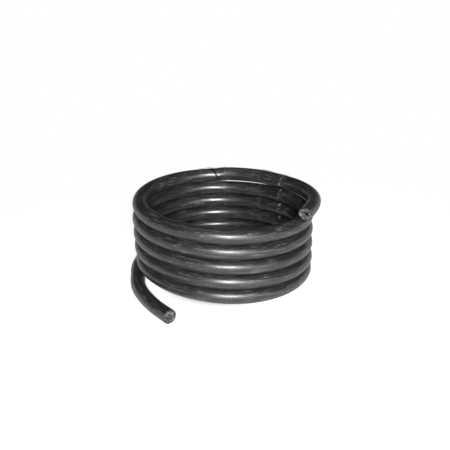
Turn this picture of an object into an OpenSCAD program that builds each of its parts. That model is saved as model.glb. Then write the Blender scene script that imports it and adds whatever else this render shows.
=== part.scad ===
// Coiled soaker hose: one length of thick-walled black rubber hose, wound into
// a loose six-turn coil that stands on its last half turn, with both ends cut
// square and bare, and two bands of clear film that hold the turns together.
//
// Units are millimetres. +Z is up, the floor is Z = 0, +X is to the right.
// Every turn is counted by one winding angle in degrees: it starts at the top
// end, runs anticlockwise seen from above and goes down towards the floor.

/* [Hose] */
// Outside diameter of the wound hose
hose_d = 16; // [14:0.5:18]
// Diameter of the bore
bore_d = 6.4; // [4:0.2:9]
// Outside diameter of the two free ends, which are drawn out a little thinner
free_end_d = 15; // [13:0.5:18]
// Length of the straight, round stretch at each free end
end_len = 22; // [12:1:30]

/* [Coil] */
// Radius of the coil, to the middle of the hose
coil_r = 88; // [80:1:120]
// How much the coil is longer than round along its long axis, at each side
coil_oval = 2.4; // [0:0.2:4]
// Direction of the coil's long axis
oval_dir = 150; // [0:5:180]
// How far the middle turns bulge out on the right
side_bulge = 2.2; // [0:0.2:4]
// How far the middle turns bulge out on the left
left_bulge = 1.2; // [0:0.2:3]
// How much lower the coil lies on the right than in the middle
coil_lean = 2.4; // [0:0.2:3]
// How much higher the coil lies on the left than in the middle
left_rise = 3.6; // [0:0.2:4]
// Full turns between the free top end and the tail
full_turns = 5; // [3:1:8]
// Clearance between one turn and the next
turn_gap = 0.2; // [0.1:0.1:1]
// How far the top turn springs outwards before its free end
top_spring = 9.7; // [0:0.1:12]
// How far the top turn stands off the one below between the film bands
top_lift = 1.5; // [0:0.1:3]

/* [Film bands] */
// Width of each film band
film_w = 33; // [15:1:40]
// Thickness of the wrapped film
film_t = 0.3; // [0.2:0.1:1]
// Clearance between the film and the hose
film_gap = 0.5; // [0.5:0.1:1]
// How far the film sinks in between two turns, as a share of the way to them
film_cling = 0.88; // [0:0.04:0.92]
// Direction of the left band
left_band_dir = 98; // [90:1:120]
// Direction of the right band
right_band_dir = 44.5; // [40:0.5:50]

/* [Hidden] */

hose_r = hose_d / 2;
bore_r = bore_d / 2;
free_end_r = free_end_d / 2;
turn_pitch = hose_d + turn_gap;

// Height of the hose's middle where it lies on the film, on the floor
lowest_z = hose_r + film_gap + film_t;

// Winding angles: where the top end leaves the coil, where the hose has come
// down to the floor, and where the tail leaves the coil
top_angle = 22;
floor_angle = 60 + 360 * full_turns;
tail_angle = 192 + 360 * full_turns;

// Each change along the winding is a pair: the winding angle that it starts
// from or ends at, and the angle that it takes
lift_start = [25, 25];
lift_end = [92, 20];
spring_end = [65, 80];
bulge_start = [180, 180];
bulge_end = [floor_angle - 120, 240];
foot_start = [floor_angle - 100, 90];

// How far the foot of the coil stands out before the turn above lies beside it
foot_lead = 0.375 * hose_d;

// The hose's faceted stretches: rings along it and sides around it. The flats
// and corners of a ring lie on both sides of the round section they stand for.
ring_step = 10;
hose_sides = 12;
bore_sides = 8;

// How far a faceted stretch reaches into the wall of its round end, on all sides
lap = 0.1;

// The axis of the coil, so that the origin is under the middle of the part
coil_axis = [-1, 7];

// Sides of the round ends and their bores, and how far a cut runs past a face
end_sides = 48;
end_bore_sides = 32;
overcut = 1;

// Route of the free top end, from the coil outwards. Each point is a winding
// angle, a distance outside coil_r and a height above the plain winding, both
// in hose diameters.
top_route = [
    [12, 0.475, -0.019],
    [2, 0.644, -0.044],
    [-7, 0.731, -0.056],
    [-15, 0.750, -0.075],
    [-22, 0.750, -0.092]];
// Heading of the straight top end
top_heading = -114;

// Route of the tail over the floor, from the coil outwards. Each point is a
// direction from the coil's axis and a distance outside coil_r in hose diameters.
tail_route = [[199, 0.694], [206, 0.869], [213, 1.025], [220, 1.2], [227.5, 1.431], [235, 1.719]];
// Heading of the straight end of the tail
tail_heading = -51.5;

// Film band: its corners around the top and the bottom turn, and on each side of
// a turn between them, the angle by which it wraps each turn further than a taut
// belt would, and the sections across its width
end_corners = 8;
side_corners = 3;
wrap_angle = 15;
band_sections = 7;

rubber_black = [0.16, 0.16, 0.16];
film_clear = [0.85, 0.9, 0.92, 0.35];

// ---- Winding of the coil ----

function smooth(t) = let (u = max(0, min(1, t))) u * u * (3 - 2 * u);

// Share of a change that starts from an angle, or of one that ends at an angle
function since(a, change) = smooth((a - change[0]) / change[1]);
function until(a, change) = smooth((change[0] - a) / change[1]);

// How far the coil leans at a winding angle: down on the right, up on the left
function lean(a) = (cos(a) > 0 ? coil_lean : left_rise) * cos(a);

// Height of the winding above its lowest point, before the top turn's lift
function climb(a) = max(0, (floor_angle - a) / 360 * turn_pitch - lean(a));

function winding_z(a) = lowest_z + climb(a);

// The top turn stands off the one below to the right of the left band
function lift(a) = top_lift * since(a, lift_start) * until(a, lift_end);

// The top turn springs outwards over its last quarter
function spring_out(a) = top_spring * until(a, spring_end);

// The middle turns bulge out on the right and on the left
function bulge_out(a) =
    (cos(a) > 0 ? side_bulge : left_bulge) * pow(cos(a), 2) * since(a, bulge_start) * until(a, bulge_end);

// The turn on the floor moves outwards, as the turn above comes down beside it
function foot_out(a) =
    let (drop = winding_z(a - 360) - winding_z(a))
    let (beside = sqrt(max(0, turn_pitch * turn_pitch - drop * drop)))
    a < foot_start[0] ? 0 : max(beside, foot_lead * since(a, foot_start));

function winding_r(a) =
    coil_r + coil_oval * cos(2 * (a - oval_dir)) + bulge_out(a) + spring_out(a) + foot_out(a);

// A point from a direction, a distance from the coil's axis and a height
function polar(a, r, z) = [coil_axis.x + r * cos(a), coil_axis.y + r * sin(a), z];

function winding(a) = polar(a, winding_r(a), winding_z(a) + lift(a));

function unit(v) = v / norm(v);

// Direction of the hose at a winding angle, towards the tail
function winding_dir(a) = unit(winding(a + 1) - winding(a - 1));

function level(heading) = [cos(heading), sin(heading), 0];

// ---- Routes of the two free ends, each from the coil outwards ----

top_points = concat([winding(top_angle)],
    [for (p = top_route) polar(p[0], coil_r + p[1] * hose_d, winding_z(p[0]) + p[2] * hose_d)]);
tail_points = concat([winding(tail_angle)],
    [for (i = [0 : len(tail_route) - 1])
        polar(tail_route[i][0], coil_r + tail_route[i][1] * hose_d, tail_radius(i + 1))]);

// The hose thins evenly along each free end
function thinned(share) = hose_r + (free_end_r - hose_r) * share;
function tail_radius(i) = thinned(i / len(tail_route));

// ---- Swept stretches of hose ----

// Corner radius of a ring with n sides that stands for a circle of radius r
function corner_r(r, n) = r / sqrt(cos(180 / n));

// One ring of n corners at distance c from point p, square to direction d
function ring(p, d, c, n) =
    let (side = unit(cross(d, [0, 0, 1])))
    let (up = cross(side, d))
    [for (k = [0 : n - 1]) let (t = (k + 0.5) * 360 / n) p + c * (cos(t) * side + sin(t) * up)];

// Directions along a route: those given at its ends, the mean in between
function route_dirs(points, first, last) =
    [for (i = [0 : len(points) - 1])
        i == 0 ? first : i == len(points) - 1 ? last : unit(points[i + 1] - points[i - 1])];

// Faces of a skin over m rings of n corners, outwards or turned inside out
function skin(m, n, base, out) =
    [for (i = [0 : m - 2], k = [0 : n - 1])
        let (a = base + i * n + k, b = base + i * n + (k + 1) % n)
        out ? [a, b, b + n, a + n] : [a, a + n, b + n, b]];

// A hollow hose through the points, with the corner radii of its rings
module hose(points, dirs, outer_corners, bore_corners) {
    m = len(points);
    outer = [for (i = [0 : m - 1]) each ring(points[i], dirs[i], outer_corners[i], hose_sides)];
    inner = [for (i = [0 : m - 1]) each ring(points[i], dirs[i], bore_corners[i], bore_sides)];
    inner_base = m * hose_sides;
    polyhedron(
        points = concat(outer, inner),
        faces = concat(
            skin(m, hose_sides, 0, true),
            skin(m, bore_sides, inner_base, false),
            rim(0, inner_base, true),
            rim((m - 1) * hose_sides, inner_base + (m - 1) * bore_sides, false)),
        convexity = 10);
}

// Faces of the flat rim between an outer ring and the bore's ring. The outer
// ring's corners share out the bore's corners evenly, two for every three.
function rim(outer_base, inner_base, first) =
    let (ratio = bore_sides / hose_sides)
    [for (k = [0 : hose_sides - 1])
        let (a = outer_base + k, b = outer_base + (k + 1) % hose_sides)
        let (c = inner_base + floor(k * ratio) % bore_sides)
        let (d = inner_base + floor((k + 1) * ratio) % bore_sides)
        each (c == d ? [first ? [a, c, b] : [a, b, c]] :
            [first ? [a, c, b] : [a, b, c], first ? [b, c, d] : [b, d, c]])];

// The straight, round end of the hose, from a point along a level heading
module round_end(from, heading) {
    translate(from)
        rotate([0, 90, heading])
            difference() {
                cylinder(h = end_len, r = free_end_r, $fn = end_sides);
                translate([0, 0, -overcut])
                    cylinder(h = end_len + 2 * overcut, r = bore_r, $fn = end_bore_sides);
            }
}

// A free stretch: a faceted hose that thins along its route, and its round end
module free_stretch(points, first_dir, heading) {
    last = len(points) - 1;
    lapped = concat([for (i = [0 : last - 1]) points[i]], [points[last] + lap * level(heading)]);
    hose(lapped,
        route_dirs(lapped, first_dir, level(heading)),
        [for (i = [0 : last]) i < last ? corner_r(thinned(i / last), hose_sides) : free_end_r - lap],
        [for (i = [0 : last])
            i < last ? corner_r(bore_r, bore_sides) : (bore_r + lap) / cos(180 / bore_sides)]);
    round_end(points[last], heading);
}

module hose_coil() {
    angles = [top_angle : ring_step : tail_angle];
    color(rubber_black)
        hose([for (a = angles) winding(a)],
            [for (a = angles) winding_dir(a)],
            [for (a = angles) corner_r(hose_r, hose_sides)],
            [for (a = angles) corner_r(bore_r, bore_sides)]);
}

module hose_top_end() {
    color(rubber_black)
        free_stretch(top_points, -winding_dir(top_angle), top_heading);
}

module hose_tail() {
    color(rubber_black)
        free_stretch(tail_points, winding_dir(tail_angle), tail_heading);
}

// ---- Film bands ----

// Middles of the turns that stand over each other in one direction, as
// distance from the axis and height
function stack(dir) =
    [for (turn = [0 : full_turns])
        let (a = dir + 360 * turn)
        [winding_r(a), winding_z(a) + lift(a)]];

// Direction straight out of the stack, between a turn and the one below it
function side_dir(above, below) = atan2(below.x - above.x, above.y - below.y);

// Corners around one turn between two directions, with flats that keep the
// given distance from the turn's middle
function wrap(middle, from, to, corners, reach) =
    let (step = (to - from) / (corners - 1))
    [for (t = [from : step : to + step / 2]) middle + reach / cos(step / 2) * [cos(t), sin(t)]];

// Where the film has sunk in between two turns, outside them (1) or inside (-1)
function valley(above, below, side, reach) =
    let (t = side_dir(above, below))
    let (taut = hose_r + film_gap)
    let (sink = film_cling * (norm([taut, norm(below - above) / 2]) - taut))
    (above + below) / 2 + side * (reach - sink) * [cos(t), sin(t)];

// The film's section around the stack: under the bottom turn, up the outside,
// over the top turn and down the inside. Its inner skin has an offset of 0.
function belt(dir, offset) =
    let (turns = stack(dir), last = full_turns, reach = hose_r + film_gap + offset)
    let (out = [for (i = [0 : last - 1]) side_dir(turns[i], turns[i + 1])])
    let (section = concat(
        wrap(turns[last], out[last - 1] - 180 - wrap_angle, out[last - 1] + wrap_angle, end_corners, reach),
        [for (i = [last - 1 : -1 : 1]) each concat(
            [valley(turns[i], turns[i + 1], 1, reach)],
            wrap(turns[i], out[i] - wrap_angle, out[i - 1] + wrap_angle, side_corners, reach))],
        [valley(turns[0], turns[1], 1, reach)],
        wrap(turns[0], out[0] - wrap_angle, out[0] + 180 + wrap_angle, end_corners, reach),
        [for (i = [1 : last - 1]) each concat(
            [valley(turns[i - 1], turns[i], -1, reach)],
            wrap(turns[i], out[i - 1] + 180 - wrap_angle, out[i] + 180 + wrap_angle, side_corners, reach))],
        [valley(turns[last - 1], turns[last], -1, reach)]))
    [for (p = section) polar(dir, p.x, max(film_t - offset, p.y))];

module film_band(dir) {
    half = film_w / 2 / coil_r * 180 / PI;
    dirs = [for (i = [0 : band_sections - 1]) dir - half + 2 * half * i / (band_sections - 1)];
    m = band_sections;
    outer = [for (d = dirs) each belt(d, film_t)];
    inner = [for (d = dirs) each belt(d, 0)];
    n = len(inner) / m;
    base = m * n;
    edges = [for (k = [0 : n - 1])
        let (a = k, b = (k + 1) % n)
        let (last = (m - 1) * n)
        each [[a, a + base, b + base, b], [a + last, b + last, b + last + base, a + last + base]]];
    color(film_clear)
        polyhedron(
            points = concat(outer, inner),
            faces = concat(skin(m, n, 0, true), skin(m, n, base, false), edges),
            convexity = 6);
}

module film_band_left() {
    film_band(left_band_dir);
}

module film_band_right() {
    film_band(right_band_dir);
}

hose_coil();
hose_top_end();
hose_tail();
film_band_left();
film_band_right();
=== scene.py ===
"""Looks of a coiled soaker hose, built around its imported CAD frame.

One length of thick-walled crumb rubber hose lies in a six-turn coil, with both
ends cut square and bare, and two bands of clear stretch film hold the turns
together. All sizes are in metres and in the CAD's own frame: +Z is up and the
floor is Z = 0.
"""

import logging
import math
from dataclasses import dataclass, field
from enum import Enum
from typing import Any, Iterable, Sequence

import bpy
import numpy as np
from mathutils import Matrix, Vector


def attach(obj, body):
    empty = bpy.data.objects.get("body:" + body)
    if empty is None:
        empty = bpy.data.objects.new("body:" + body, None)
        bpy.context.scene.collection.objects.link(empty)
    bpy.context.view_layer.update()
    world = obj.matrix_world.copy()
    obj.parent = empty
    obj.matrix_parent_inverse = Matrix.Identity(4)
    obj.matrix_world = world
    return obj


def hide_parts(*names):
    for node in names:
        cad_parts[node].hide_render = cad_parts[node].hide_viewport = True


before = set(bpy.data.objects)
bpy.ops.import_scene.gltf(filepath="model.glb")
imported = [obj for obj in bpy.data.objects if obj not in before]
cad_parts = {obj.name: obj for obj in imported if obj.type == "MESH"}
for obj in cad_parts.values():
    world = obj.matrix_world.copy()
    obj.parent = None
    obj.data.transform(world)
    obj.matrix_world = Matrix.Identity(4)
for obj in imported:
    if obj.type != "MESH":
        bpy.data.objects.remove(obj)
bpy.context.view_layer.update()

log = logging.getLogger("soaker_hose")

MM = 0.001
BODY = "root"
STRAIGHT = "straightened"
HAZE_AND_GLINT_FLECKS = "haze"
CREASE_SHADE_APART = "crease_apart"
CREASE_SHADE_DEPTH = "crease_depth"


class Slot(Enum):
    """The record's material slots."""

    RUBBER = "porous_rubber"
    FILM = "clear_film"


# ---- Small tools ----


def linear(colour: str) -> tuple[float, float, float, float]:
    """Turns an sRGB hex colour into a linear one.

    Args:
        colour: six hex digits after a hash.

    Returns:
        Linear red, green and blue, and an alpha of 1.
    """
    channels = [int(colour[i : i + 2], 16) / 255 for i in (1, 3, 5)]
    low = [c / 12.92 if c <= 0.04045 else ((c + 0.055) / 1.055) ** 2.4 for c in channels]
    return low[0], low[1], low[2], 1.0


def add_node(
    tree: bpy.types.NodeTree,
    kind: str,
    settings: dict[str, Any] | None = None,
    values: dict[str | int, Any] | None = None,
    links: dict[str | int, bpy.types.NodeSocket] | None = None,
) -> bpy.types.Node:
    """Adds a node with its settings, socket values and links.

    Args:
        tree: the node tree that gets the node.
        kind: the node's type name.
        settings: properties of the node itself.
        values: values of its input sockets, by name or number.
        links: output sockets that feed its input sockets, by name or number.

    Returns:
        The new node.
    """
    made = tree.nodes.new(kind)
    for name, value in (settings or {}).items():
        setattr(made, name, value)
    for key, value in (values or {}).items():
        made.inputs[key].default_value = value
    for key, socket in (links or {}).items():
        tree.links.new(socket, made.inputs[key])
    return made


def new_tree(
    name: str, inputs: dict[str, str]
) -> tuple[bpy.types.NodeTree, bpy.types.Node, bpy.types.Node]:
    """Makes an empty Geometry Nodes tree with named inputs.

    Args:
        name: the tree's name.
        inputs: the type of each input after the geometry, by its name.

    Returns:
        The tree, its input node and its output node.
    """
    tree = bpy.data.node_groups.new(name, "GeometryNodeTree")
    tree.interface.new_socket(name="Geometry", in_out="INPUT", socket_type="NodeSocketGeometry")
    for label, kind in inputs.items():
        tree.interface.new_socket(name=label, in_out="INPUT", socket_type=kind)
    tree.interface.new_socket(name="Geometry", in_out="OUTPUT", socket_type="NodeSocketGeometry")
    return tree, tree.nodes.new("NodeGroupInput"), tree.nodes.new("NodeGroupOutput")


def grown(
    source: bpy.types.Object, tree: bpy.types.NodeTree, values: dict[str, Any], name: str
) -> bpy.types.Object:
    """Runs a Geometry Nodes tree on an object and keeps the result as a plain mesh.

    Args:
        source: the object that the tree starts from, which is removed.
        tree: the Geometry Nodes tree.
        values: the tree's inputs by name, set through their identifiers.
        name: the new object's name.

    Returns:
        A new object without modifiers.
    """
    modifier = source.modifiers.new(tree.name, "NODES")
    modifier.node_group = tree
    for item in tree.interface.items_tree:
        if item.in_out == "INPUT" and item.name in values:
            modifier[item.identifier] = values[item.name]
    bpy.context.view_layer.update()
    evaluated = source.evaluated_get(bpy.context.evaluated_depsgraph_get())
    mesh = bpy.data.meshes.new_from_object(evaluated)
    mesh.name = name
    # what the tree starts from has no material, and leaves a slot that no face uses
    if mesh.materials and mesh.materials[0] is None:
        mesh.materials.pop(index=0)
    source.modifiers.remove(modifier)
    bpy.data.objects.remove(source)
    made = bpy.data.objects.new(name, mesh)
    bpy.context.scene.collection.objects.link(made)
    return made


def mesh_object(
    name: str,
    points: np.ndarray,
    faces: Sequence[Sequence[int]],
    edges: Sequence[Sequence[int]] = (),
    attributes: dict[str, np.ndarray] | None = None,
) -> bpy.types.Object:
    """Makes an object from points, edges and faces.

    Args:
        name: the object's name.
        points: one row of three coordinates for each vertex.
        faces: vertex numbers of each face.
        edges: vertex numbers of each loose edge.
        attributes: numbers kept on the vertices, by name.

    Returns:
        The new object, linked to the scene.
    """
    mesh = bpy.data.meshes.new(name)
    mesh.from_pydata([tuple(p) for p in points], edges, faces)
    for label, numbers in (attributes or {}).items():
        kept = mesh.attributes.new(label, "FLOAT", "POINT")
        kept.data.foreach_set("value", numbers.astype(np.float32))
    made = bpy.data.objects.new(name, mesh)
    bpy.context.scene.collection.objects.link(made)
    return made


def sheet_faces(columns: int, rows: int) -> list[tuple[int, ...]]:
    """Faces of a thin closed sheet, whose inner grid of points comes before its outer one.

    Args:
        columns: columns of each grid.
        rows: rows of each grid, which are numbered first.

    Returns:
        Vertex numbers of each face: the outer side, the inner side and the border.
    """
    count = columns * rows
    i, j = np.meshgrid(np.arange(columns - 1), np.arange(rows - 1), indexing="ij")
    a = (i * rows + j).ravel()
    quads = np.stack([a, a + rows, a + rows + 1, a + 1], axis=-1)
    border = (
        [k * rows for k in range(columns)]
        + [(columns - 1) * rows + k for k in range(1, rows)]
        + [k * rows + rows - 1 for k in range(columns - 2, -1, -1)]
        + [k for k in range(rows - 2, 0, -1)]
    )
    sides = [(p, p + count, q + count, q) for p, q in zip(border, border[1:] + border[:1])]
    return [tuple(q) for q in quads[:, ::-1] + count] + [tuple(q) for q in quads] + sides


def material(name: str) -> tuple[bpy.types.Material, bpy.types.NodeTree]:
    """Makes an empty material.

    Args:
        name: the material's name.

    Returns:
        The material and its node tree.
    """
    made = bpy.data.materials.new(name)
    made.use_nodes = True
    made.node_tree.nodes.clear()
    return made, made.node_tree


def smooth(t: np.ndarray | float) -> np.ndarray:
    """Eases from 0 to 1 as t goes from 0 to 1."""
    u = np.clip(t, 0, 1)
    return u * u * (3 - 2 * u)


def length_along(points: np.ndarray) -> np.ndarray:
    """Gives the distance of each point from the first, along the points."""
    steps = np.linalg.norm(np.diff(points, axis=0), axis=1)
    return np.concatenate([[0], np.cumsum(steps)])


# ---- Finishes ----


@dataclass(frozen=True)
class PorousRubber:
    """Extruded wall of recycled crumb rubber bound with polyethylene.

    The crumbs are half a millimetre to a millimetre across and smeared along the
    hose by the die, so the wall is near black with fine streaks along it, a
    slightly mottled tone and small open pores. Crumbs and streaks are drawn
    about 1.5 mm wide, because finer ones don't show. The gloss comes from a skin
    of polyethylene over it. The skin is broken by pores, which swallow light
    that glances along the wall, so its IOR is higher and its share smaller than
    a closed skin's, and it mirrors less along its edges.
    """

    black: str = "#1a1a1a"
    crumb: str = "#707070"
    # the pores' colour: partly their own dark, partly painted shade in them
    pore_and_shade: str = "#0c0c0c"
    crumb_size: float = 1.5 * MM
    streak_width: float = 1.4 * MM
    streak_length: float = 15 * MM
    patch_size: float = 34 * MM
    pore_spacing: float = 2.5 * MM
    streak_weight: float = 1.6
    tone_range: tuple[float, float] = (1.3, 1.8)
    patch_range: tuple[float, float] = (0.35, 0.65)
    least_bloom: float = 0.35
    pore_range: tuple[float, float] = (0.06, 0.2)
    ior: float = 1.52
    roughness: tuple[float, float] = (0.54, 0.64)
    gloss: float = 0.1
    skin_share: float = 0.42
    skin_ior: float = 2
    skin_roughness: float = 0.31
    relief: float = 0.2 * MM
    skin_relief: float = 0.3

    def patterns(self, tree: bpy.types.NodeTree) -> tuple[bpy.types.NodeSocket, ...]:
        """Adds the patterns in the straightened hose's own space.

        Args:
            tree: the material's node tree.

        Returns:
            Sockets with the mottle of streaks and crumbs, with the slow patches,
            and with the pores, which are 1 where the wall is open.
        """
        space = add_node(tree, "ShaderNodeAttribute", {"attribute_name": STRAIGHT}).outputs["Vector"]
        stretched = add_node(
            tree,
            "ShaderNodeVectorMath",
            {"operation": "MULTIPLY"},
            {1: (1, 1, self.streak_width / self.streak_length)},
            {0: space},
        )
        streaks, crumbs, patches = (
            add_node(
                tree,
                "ShaderNodeTexNoise",
                values={"Scale": 1 / size, "Detail": detail, "Roughness": roughness},
                links={"Vector": source},
            ).outputs["Fac"]
            for source, size, detail, roughness in (
                (stretched.outputs[0], self.streak_width, 3, 0.6),
                (space, self.crumb_size, 4, 0.65),
                (space, self.patch_size, 3, 0.5),
            )
        )
        pores = add_node(
            tree,
            "ShaderNodeTexVoronoi",
            values={"Scale": 1 / self.pore_spacing, "Randomness": 1},
            links={"Vector": space},
        )
        mottle = add_node(
            tree,
            "ShaderNodeMath",
            {"operation": "MULTIPLY_ADD"},
            {1: self.streak_weight},
            {0: streaks, 2: crumbs},
        )
        pitted = add_node(
            tree,
            "ShaderNodeMapRange",
            {"interpolation_type": "LINEAR"},
            {"From Min": self.pore_range[0], "From Max": self.pore_range[1], "To Min": 1, "To Max": 0},
            {"Value": pores.outputs["Distance"]},
        )
        return mottle.outputs[0], patches, pitted.outputs["Result"]

    def colour(
        self,
        tree: bpy.types.NodeTree,
        mottle: bpy.types.NodeSocket,
        bloom: bpy.types.NodeSocket,
        pitted: bpy.types.NodeSocket,
    ) -> bpy.types.NodeSocket:
        """Adds the wall's colour: black, with grey crumbs in it and darker pores, whose dark is partly their
        own and partly painted shade in them.

        Args:
            tree: the material's node tree.
            mottle: the mottle of streaks and crumbs.
            bloom: how strongly the crumbs show.
            pitted: the pores.

        Returns:
            The socket with the colour.
        """
        tone = add_node(
            tree,
            "ShaderNodeMapRange",
            {"interpolation_type": "SMOOTHSTEP"},
            {"From Min": self.tone_range[0], "From Max": self.tone_range[1], "To Min": 0, "To Max": 1},
            {"Value": mottle},
        )
        share = add_node(
            tree, "ShaderNodeMath", {"operation": "MULTIPLY"}, links={0: tone.outputs[0], 1: bloom}
        )
        body = add_node(
            tree,
            "ShaderNodeMix",
            {"data_type": "RGBA"},
            {"A": linear(self.black), "B": linear(self.crumb)},
            {"Factor": share.outputs[0]},
        )
        # painted shade, in part: the pores are drawn darker
        whole = add_node(
            tree,
            "ShaderNodeMix",
            {"data_type": "RGBA"},
            {"B": linear(self.pore_and_shade)},
            {"Factor": pitted, "A": body.outputs["Result"]},
        )
        return whole.outputs["Result"]

    def make(self) -> bpy.types.Material:
        """Builds the material: mottled rubber under a broken, glossier skin.

        Returns:
            The material.
        """
        made, tree = material("porous_crumb_rubber")
        mottle, patches, pitted = self.patterns(tree)
        bloom, roughness = (
            add_node(
                tree,
                "ShaderNodeMapRange",
                values={
                    "From Min": self.patch_range[0],
                    "From Max": self.patch_range[1],
                    "To Min": least,
                    "To Max": most,
                },
                links={"Value": patches},
            ).outputs["Result"]
            for least, most in ((self.least_bloom, 1), self.roughness)
        )
        height = add_node(tree, "ShaderNodeMath", {"operation": "SUBTRACT"}, links={0: mottle, 1: pitted})
        bump, skin = (
            add_node(
                tree,
                "ShaderNodeBump",
                values={"Strength": strength, "Distance": self.relief},
                links={"Height": height.outputs[0]},
            )
            for strength in (1, self.skin_relief)
        )
        wall = add_node(
            tree,
            "ShaderNodeBsdfPrincipled",
            values={
                "IOR": self.ior,
                "Metallic": 0,
                "Specular IOR Level": self.gloss,
                "Coat Weight": self.skin_share,
                "Coat IOR": self.skin_ior,
                "Coat Roughness": self.skin_roughness,
            },
            links={
                "Base Color": self.colour(tree, mottle, bloom, pitted),
                "Roughness": roughness,
                "Normal": bump.outputs[0],
                "Coat Normal": skin.outputs[0],
            },
        )
        add_node(tree, "ShaderNodeOutputMaterial", links={"Surface": wall.outputs[0]})
        return made


@dataclass(frozen=True)
class CutRubber:
    """Saw-cut face of the wall, where the crumbs show torn through.

    A cut face is duller and much lighter than the smeared wall: grey crumbs, a
    few pale ones, and black binder between them. The bore is as open and dull as
    a cut face, and paler, which is partly unsmeared crumb and partly painted light
    that lifts the shade inside it. The crumbs are drawn 1.5 mm wide, because finer
    ones don't show.
    """

    name: str = "cut_crumb_rubber"
    binder: str = "#202020"
    grey: str = "#404040"
    pale: str = "#8a8a8a"
    tone_shares: tuple[float, float, float] = (0.15, 0.6, 0.95)
    crumb_size: float = 1.5 * MM
    gap_share: float = 0.12
    relief: float = 0.35 * MM
    ior: float = 1.52
    roughness: float = 0.6

    def make(self) -> bpy.types.Material:
        """Builds the material from cells the size of the crumbs.

        Returns:
            The material.
        """
        made, tree = material(self.name)
        space = add_node(tree, "ShaderNodeTexCoord")
        cells, gaps = (
            add_node(
                tree,
                "ShaderNodeTexVoronoi",
                {"feature": feature},
                {"Scale": 1 / self.crumb_size, "Randomness": 1},
                {"Vector": space.outputs["Object"]},
            )
            for feature in ("F1", "DISTANCE_TO_EDGE")
        )
        pick = add_node(tree, "ShaderNodeSeparateColor", links={0: cells.outputs["Color"]})
        ramp = add_node(tree, "ShaderNodeValToRGB", links={0: pick.outputs[0]})
        stops = ramp.color_ramp.elements
        first, middle, last = self.tone_shares
        stops[0].position, stops[0].color = first, linear(self.binder)
        stops[1].position, stops[1].color = last, linear(self.pale)
        stops.new(middle).color = linear(self.grey)
        between = add_node(
            tree,
            "ShaderNodeMapRange",
            values={"From Min": 0, "From Max": self.gap_share, "To Min": 1, "To Max": 0},
            links={"Value": gaps.outputs["Distance"]},
        )
        colour = add_node(
            tree,
            "ShaderNodeMix",
            {"data_type": "RGBA"},
            {"B": linear(self.binder)},
            {"Factor": between.outputs["Result"], "A": ramp.outputs["Color"]},
        )
        bump = add_node(
            tree,
            "ShaderNodeBump",
            values={"Strength": 0.9, "Distance": self.relief},
            links={"Height": gaps.outputs["Distance"]},
        )
        face = add_node(
            tree,
            "ShaderNodeBsdfPrincipled",
            values={"IOR": self.ior, "Roughness": self.roughness},
            links={"Base Color": colour.outputs["Result"], "Normal": bump.outputs[0]},
        )
        add_node(tree, "ShaderNodeOutputMaterial", links={"Surface": face.outputs[0]})
        return made


@dataclass(frozen=True)
class StretchFilm:
    """Clear polyethylene stretch film in a few layers.

    It is seen by its glints, by milky haze at its edges and where it laps, by
    milky flecks along its edges, which are painted glints, and by a grey line
    along a crease, which is painted shade. Elsewhere the rubber shows through
    it. A face seen from behind doesn't mirror, so each layer shines once.
    """

    tint: str = "#fdfefe"
    # the milky colour of the haze, and of the flecks that are painted glints
    milky_haze_and_glints: str = "#c9ccce"
    # painted shade: the grey that darkens the film along a crease
    crease: str = "#8a8a8a"
    crease_shade_line: tuple[float, float] = (0.08, 0.3)
    shine: str = "#b0b0b0"
    ior: float = 1.51
    roughness: float = 0.22
    fold_roughness: float = 0.3

    def make(self) -> bpy.types.Material:
        """Builds the material: clear, with gloss by Fresnel, painted shade along crease lines, and edge haze
        with painted glints.

        Returns:
            The material.
        """
        made, tree = material("clear_stretch_film")
        beside = add_node(tree, "ShaderNodeAttribute", {"attribute_name": CREASE_SHADE_APART})
        depth = add_node(tree, "ShaderNodeAttribute", {"attribute_name": CREASE_SHADE_DEPTH})
        apart = add_node(tree, "ShaderNodeMath", {"operation": "ABSOLUTE"}, links={0: beside.outputs["Fac"]})
        line = add_node(
            tree,
            "ShaderNodeMapRange",
            {"interpolation_type": "SMOOTHSTEP"},
            {"From Min": self.crease_shade_line[0], "From Max": self.crease_shade_line[1], "To Min": 1, "To Max": 0},
            {"Value": apart.outputs[0]},
        )
        # painted shade along the crease line, where the fold looks dark
        painted_crease_shade = add_node(
            tree,
            "ShaderNodeMath",
            {"operation": "MULTIPLY"},
            links={0: line.outputs["Result"], 1: depth.outputs["Fac"]},
        )
        through = add_node(
            tree,
            "ShaderNodeMix",
            {"data_type": "RGBA"},
            {"A": linear(self.tint), "B": linear(self.crease)},
            {"Factor": painted_crease_shade.outputs[0]},
        )
        clear = add_node(tree, "ShaderNodeBsdfTransparent", links={"Color": through.outputs["Result"]})
        gloss = add_node(
            tree,
            "ShaderNodeBsdfGlossy",
            values={"Color": linear(self.shine), "Roughness": self.roughness},
        )
        mirror = add_node(tree, "ShaderNodeFresnel", values={"IOR": self.ior})
        side = add_node(tree, "ShaderNodeNewGeometry")
        front = add_node(
            tree, "ShaderNodeMath", {"operation": "SUBTRACT"}, {0: 1}, {1: side.outputs["Backfacing"]}
        )
        mirrored = add_node(
            tree,
            "ShaderNodeMath",
            {"operation": "MULTIPLY"},
            links={0: mirror.outputs[0], 1: front.outputs[0]},
        )
        sheet = add_node(
            tree,
            "ShaderNodeMixShader",
            links={0: mirrored.outputs[0], 1: clear.outputs[0], 2: gloss.outputs[0]},
        )
        milky = add_node(
            tree,
            "ShaderNodeBsdfPrincipled",
            values={"Base Color": linear(self.milky_haze_and_glints), "Roughness": self.fold_roughness, "IOR": self.ior},
        )
        haze = add_node(tree, "ShaderNodeAttribute", {"attribute_name": HAZE_AND_GLINT_FLECKS})
        film = add_node(
            tree,
            "ShaderNodeMixShader",
            links={0: haze.outputs["Fac"], 1: sheet.outputs[0], 2: milky.outputs[0]},
        )
        add_node(tree, "ShaderNodeOutputMaterial", links={"Surface": film.outputs[0]})
        return made


# ---- The coil's rule ----


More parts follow.
